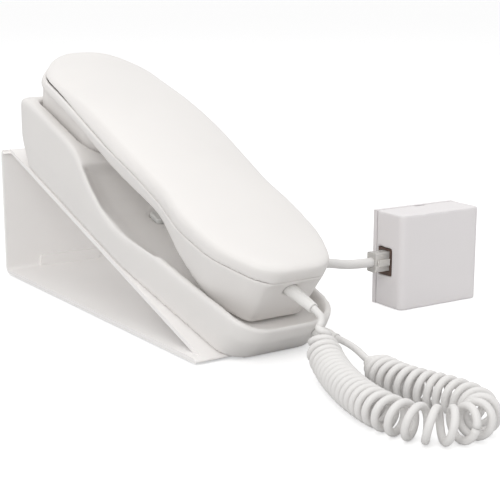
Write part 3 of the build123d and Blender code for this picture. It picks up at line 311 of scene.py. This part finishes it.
def metal(name, colour, rough, stretch):
    """Plated metal with fine turning marks."""
    made, tree, links, shader = material(name)
    scale = tree.new("ShaderNodeMapping")
    scale.inputs["Scale"].default_value = stretch
    links.new(tree.new("ShaderNodeTexCoord").outputs["Object"], scale.inputs["Vector"])
    marks = noise(tree, links, scale.outputs["Vector"], MARK_SCALE, MARK_DETAIL)
    tones = tree.new("ShaderNodeValToRGB")
    tones.color_ramp.elements[0].color = (*[c * MARK_SHADE for c in colour], 1)
    tones.color_ramp.elements[1].color = (*colour, 1)
    links.new(marks, tones.inputs["Fac"])
    links.new(tones.outputs["Color"], shader.inputs["Base Color"])
    shader.inputs["Metallic"].default_value = 1
    shader.inputs["Roughness"].default_value = rough
    bumped(tree, links, shader, marks, MARK_DEPTH)
    return made


def clear_plastic(name):
    """Clear plug plastic with slight haze and flow marks."""
    made, tree, links, shader = material(name)
    place = tree.new("ShaderNodeTexCoord").outputs["Object"]
    bumped(tree, links, shader, noise(tree, links, place, FLOW_SCALE), FLOW_DEPTH, FLOW_STRENGTH)
    shader.inputs["Base Color"].default_value = CLEAR_COLOUR
    shader.inputs["Roughness"].default_value = CLEAR_ROUGH
    shader.inputs["Transmission Weight"].default_value = CLEAR_PASS
    shader.inputs["IOR"].default_value = CLEAR_IOR
    return made


# Plastics: colour, roughness, grain scale, grain depth, and where needed tone variation and coat
handset_white = plastic("handset_white", (0.8, 0.776, 0.755), 0.42, 2600, 0.00003, coat=0.1)
cradle_white = plastic("cradle_white", (0.79, 0.768, 0.748), 0.46, 2400, 0.00004)
stand_white = plastic("stand_white", (0.9, 0.88, 0.865), 0.5, 1500, 0.00005)
cord_white = plastic("cord_white", (0.77, 0.755, 0.74), 0.45, 1800, 0.00003)
boot_white = plastic("boot_white", (0.8, 0.79, 0.77), 0.5, 1800, 0.00004)
box_white = plastic("box_white", (0.8, 0.772, 0.775), 0.48, 2000, 0.00004)
tie_white = plastic("tie_white", (0.78, 0.78, 0.77), 0.45, 2200, 0.00003)
key_white = plastic("key_white", (0.75, 0.75, 0.73), 0.35, 2600, 0.00002)
dark_plastic = plastic("dark_plastic", (0.1, 0.06, 0.045), 0.5, 2000, 0.00004, 0.15)
black_part = plastic("black_part", (0.04, 0.04, 0.042), 0.45, 2000, 0.00004, 0.15)
board_green = plastic("board_green", (0.03, 0.13, 0.06), 0.4, 900, 0.00005, 0.2)
rubber = plastic("rubber", (0.05, 0.05, 0.05), 0.75, 900, 0.0001, 0.15)
steel = metal("steel", (0.62, 0.62, 0.62), 0.3, (1, 1, 8))
gold = metal("gold", (0.8, 0.6, 0.28), 0.25, (1, 1, 6))
clear = clear_plastic("clear_plastic")

FINISHES = {
    handset_white: ["handset_top_shell", "handset_bottom_shell"],
    cradle_white: ["cradle_shell", "cradle_back_plate"],
    stand_white: ["stand_bracket"],
    cord_white: ["curly_cord", "curly_cord_tail", "line_cord_coil", "line_cord_inner", "line_cord_outer"],
    boot_white: ["handset_cord_boot", "cradle_cord_boot", "line_cord_gland"],
    box_white: ["box_cover", "box_back"],
    tie_white: ["cord_tie"],
    key_white: ["hook_plunger", "door_release_button"],
    dark_plastic: ["jack_insert"],
    black_part: ["hook_switch", "call_buzzer", "earpiece_receiver", "terminal_block"],
    board_green: ["cradle_circuit_board", "handset_circuit_board"],
    rubber: ["stand_foot_pad", "receiver_seal", "microphone_holder"],
    steel: [
        "stand_screws", "cradle_screws", "board_screws", "hook_spring", "handset_screws", "box_screws",
        "microphone_capsule",
    ],
    gold: ["button_switch", "plug_contacts", "jack_contacts", "box_terminals"],
    clear: ["line_plug"],
}


def finished(piece, finish):
    """Gives a piece its one material."""
    piece.data.materials.clear()
    piece.data.materials.append(finish)


for finish, names in FINISHES.items():
    for name in names:
        finished(nodes[name], finish)
for cord in (near_curls, far_curls, line_cord):
    finished(cord, cord_white)
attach(far_curls, "root")
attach(line_cord, "root")
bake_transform(near_curls)

# Soft edges: moulded pieces shown by smoothed copies of their solids. Places are in millimetres
SLOPE = radians(19.11)
NEST = np.array((0, -0.0068, 0.03329))
UPHILL = np.array((0, cos(SLOPE), sin(SLOPE)))
ABOVE = np.array((0, -sin(SLOPE), cos(SLOPE)))
FULL_STEP = 0.5

# Where the handset's shells meet: place along the deck and height above it
PARTING = [
    (-114.5, 38), (-69.1, 38.4), (-45.4, 39.4), (-29.2, 42.1), (-16.2, 44.3), (-5.4, 45.5), (17.3, 47.3),
    (33.5, 48.5), (114.5, 48.7),
]
SEAM_HOLD = 0.8
SEAM_EASE = 3
SEAM_SHARE = 0.05
CROWN_SHARE = 0.95
UNDER_SHARE = 0.5

DIP_MIDDLE, DIP_HALF_LENGTH, DIP_END_EASE = -6, 34, 6
DIP_FLOOR, DIP_FLOOR_EASE = 13.2, 2
DIP_FLANK, DIP_FLANK_EASE = 15, 2
DIP_SHARE = 0.45
EAR_START, EAR_EASE = 92, 8
EAR_FLOOR, EAR_FLOOR_EASE = 6, 6
RIM_FLOOR, RIM_FLOOR_EASE = 11, 4
RIM_SHARE = 0.25
FOOT_SHARE = 0.2
BOX_SHARE = 0.6


def deck_places(points):
    """Distances across, along and above the deck of points in the shared frame."""
    away = (points - NEST) / MM
    return away[:, 0], away @ UPHILL, away @ ABOVE


def over_parting(along, above):
    """Height over the line where the handset's shells meet."""
    return above - np.interp(along, *zip(*PARTING))


def crown_share(across, along, above):
    """Strong above the line where the shells meet, weak beside it."""
    return SEAM_SHARE + CROWN_SHARE * eased((over_parting(along, above) - SEAM_HOLD) / SEAM_EASE)


def under_share(across, along, above):
    """Even below the line where the shells meet, weak beside it."""
    return SEAM_SHARE + UNDER_SHARE * eased((-over_parting(along, above) - SEAM_HOLD) / SEAM_EASE)


def rim_share(across, along, above):
    """Stronger on the finger dip's flanks, the rim and the ear end than on the foot."""
    dip = eased((DIP_HALF_LENGTH - np.abs(along - DIP_MIDDLE)) / DIP_END_EASE)
    dip *= eased((above - DIP_FLOOR) / DIP_FLOOR_EASE) * eased((np.abs(across) - DIP_FLANK) / DIP_FLANK_EASE)
    ear = eased((along - EAR_START) / EAR_EASE) * eased((above - EAR_FLOOR) / EAR_FLOOR_EASE)
    rim = eased((above - RIM_FLOOR) / RIM_FLOOR_EASE)
    return np.maximum(FOOT_SHARE + RIM_SHARE * rim + DIP_SHARE * dip, ear)


def even_share(across, along, above):
    """The same everywhere."""
    return np.full(len(across), BOX_SHARE)


def softened(name, voxel, passes, share, finish, body):
    """A copy of a piece with rounded edges, smoothed by a share that depends on the place."""
    source = nodes[name]
    made = bpy.data.objects.new(name + "_soft", source.data.copy())
    collection.objects.link(made)
    made.matrix_world = source.matrix_world
    grid = made.modifiers.new("grid", "REMESH")
    grid.mode = "VOXEL"
    grid.voxel_size = voxel
    bpy.context.view_layer.update()
    mesh = bpy.data.meshes.new_from_object(made.evaluated_get(bpy.context.evaluated_depsgraph_get()))
    made.modifiers.clear()
    made.data = mesh
    count = len(mesh.vertices)
    points = np.empty(count * 3)
    mesh.vertices.foreach_get("co", points)
    points = points.reshape(-1, 3)
    pairs = np.empty(len(mesh.edges) * 2, dtype=np.int64)
    mesh.edges.foreach_get("vertices", pairs)
    one, two = pairs[::2], pairs[1::2]
    joined = np.bincount(one, minlength=count) + np.bincount(two, minlength=count)
    turn = np.array(source.matrix_world.to_3x3())
    shift = np.array(source.matrix_world.translation)
    part = share(*deck_places(points @ turn.T + shift))[:, None] * FULL_STEP
    for _ in range(passes):
        near = [
            np.bincount(one, points[two, i], count) + np.bincount(two, points[one, i], count)
            for i in range(3)
        ]
        points += (np.stack(near, axis=1) / joined[:, None] - points) * part
    mesh.vertices.foreach_set("co", points.ravel())
    mesh.update()
    mesh.shade_smooth()
    finished(made, finish)
    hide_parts(name)
    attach(made, body)


# Name, grid size in metres, passes, share, finish and body
softened("handset_top_shell", 0.0008, 110, crown_share, handset_white, "handset")
softened("handset_bottom_shell", 0.0008, 24, under_share, handset_white, "handset")
softened("cradle_shell", 0.0008, 36, rim_share, cradle_white, "root")
softened("box_cover", 0.0005, 12, even_share, box_white, "root")

# Floor, backdrop and light
FLOOR_REACH = 40
FLOOR_COLOUR = (0.7, 0.7, 0.7, 1)
FLOOR_ROUGH = 0.9
FLOOR_GLOW = 0.5
WORLD_LEVEL = 0.6
WHITE = (1, 1, 1, 1)
LAMP_AIM = Vector((0, 0, 0.04))
# Name, place, width in metres and power in watts
LAMPS = [
    ("key", (-1.2, -0.8, 1.05), 1.1, 11),
    ("top", (0.1, 0.2, 1.8), 1.6, 10),
    ("fill", (1.2, -1.4, 0.8), 1.4, 2.5),
]


def add_floor():
    """A pale floor that keeps the shadow and glows for the camera alone."""
    made, tree, links, shader = material("floor_pale")
    shader.inputs["Base Color"].default_value = FLOOR_COLOUR
    shader.inputs["Roughness"].default_value = FLOOR_ROUGH
    rays = tree.new("ShaderNodeLightPath")
    glow = tree.new("ShaderNodeEmission")
    both = tree.new("ShaderNodeAddShader")
    seen = tree.new("ShaderNodeMath")
    seen.operation = "MULTIPLY"
    seen.inputs[1].default_value = FLOOR_GLOW
    links.new(rays.outputs["Is Camera Ray"], seen.inputs[0])
    links.new(seen.outputs["Value"], glow.inputs["Strength"])
    links.new(shader.outputs["BSDF"], both.inputs[0])
    links.new(glow.outputs["Emission"], both.inputs[1])
    links.new(both.outputs["Shader"], tree["Material Output"].inputs["Surface"])
    corners = [(x * FLOOR_REACH, y * FLOOR_REACH, 0) for x, y in ((-1, -1), (1, -1), (1, 1), (-1, 1))]
    mesh = bpy.data.meshes.new("floor")
    mesh.from_pydata(corners, [], [(0, 1, 2, 3)])
    mesh.materials.append(made)
    floor = bpy.data.objects.new("floor", mesh)
    collection.objects.link(floor)


def add_surround():
    """A surround that is white for the camera, in reflections and through clear parts."""
    world = bpy.data.worlds.new("surround")
    bpy.context.scene.world = world
    world.use_nodes = True
    tree, links = world.node_tree.nodes, world.node_tree.links
    tree["Background"].inputs["Color"].default_value = WHITE
    path = tree.new("ShaderNodeLightPath").outputs
    most = path["Is Camera Ray"]
    for ray in ("Is Glossy Ray", "Is Transmission Ray"):
        either = tree.new("ShaderNodeMath")
        either.operation = "MAXIMUM"
        links.new(most, either.inputs[0])
        links.new(path[ray], either.inputs[1])
        most = either.outputs["Value"]
    level = tree.new("ShaderNodeMapRange")
    level.inputs["To Min"].default_value = WORLD_LEVEL
    level.inputs["To Max"].default_value = 1
    links.new(most, level.inputs["Value"])
    links.new(level.outputs["Result"], tree["Background"].inputs["Strength"])


def add_lamps():
    """Soft lamps, all turned to the object."""
    for name, place, width, power in LAMPS:
        light = bpy.data.lights.new(name, "AREA")
        light.size = width
        light.energy = power
        lamp = bpy.data.objects.new(name, light)
        lamp.location = place
        lamp.rotation_euler = (LAMP_AIM - Vector(place)).to_track_quat("-Z", "Y").to_euler()
        collection.objects.link(lamp)


add_floor()
add_surround()
add_lamps()
